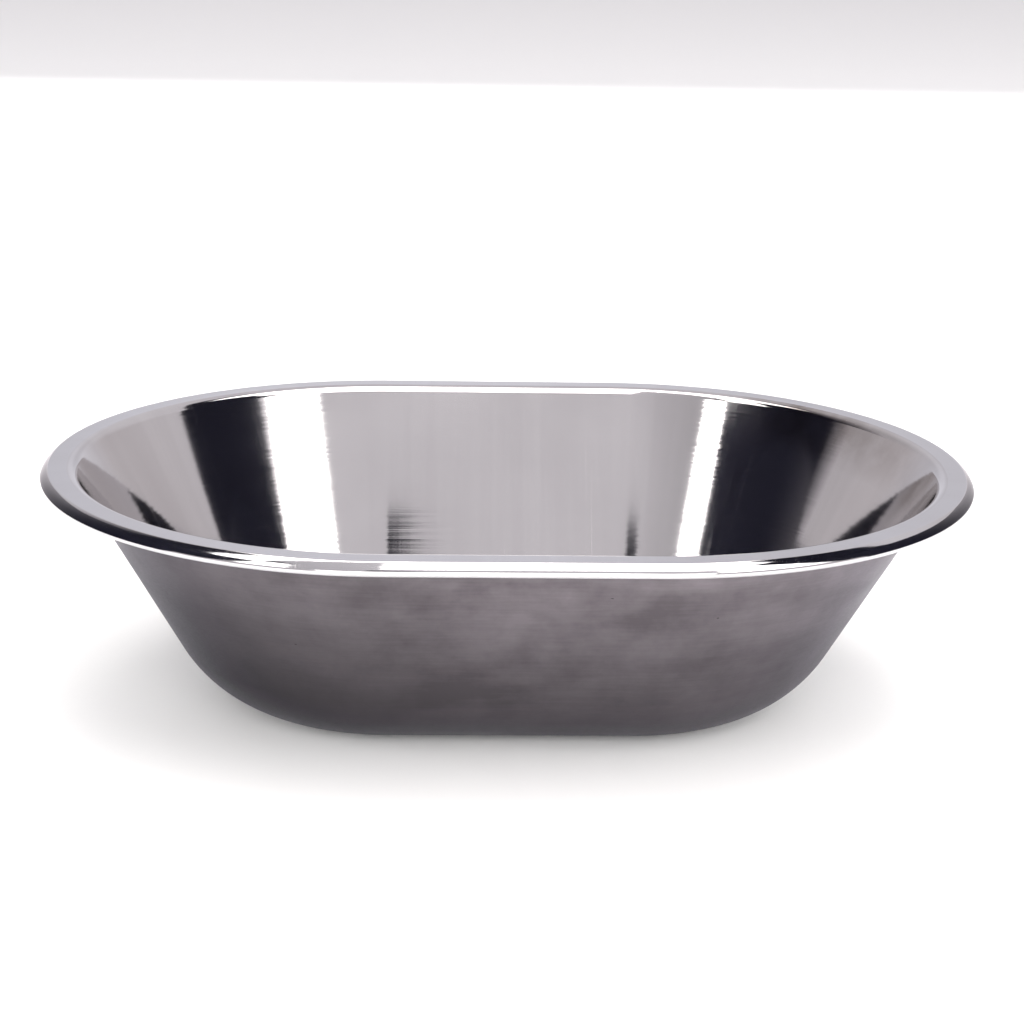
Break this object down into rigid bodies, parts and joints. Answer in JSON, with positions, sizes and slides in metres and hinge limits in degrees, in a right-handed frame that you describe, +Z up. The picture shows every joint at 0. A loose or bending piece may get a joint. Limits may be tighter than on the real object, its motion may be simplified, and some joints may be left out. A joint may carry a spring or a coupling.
{
  "type": "pedicure foot bath",
  "caption": "Oval stainless steel foot basin with tapered walls, a flat base and a flat rim ring with a turned-down, rolled edge.",
  "frame": {"origin": "middle of the underside of the flat base", "axes": "+X along the basin's length, +Y across its width, +Z up out of the basin's mouth"},
  "size_m": [0.45, 0.333, 0.121],
  "materials": {
    "stainless_steel": "mirror-polished inside and on the rim, satin as-drawn outside"
  },
  "bodies": {
    "root": {"basin": "stainless_steel"}
  },
  "joints": []
}
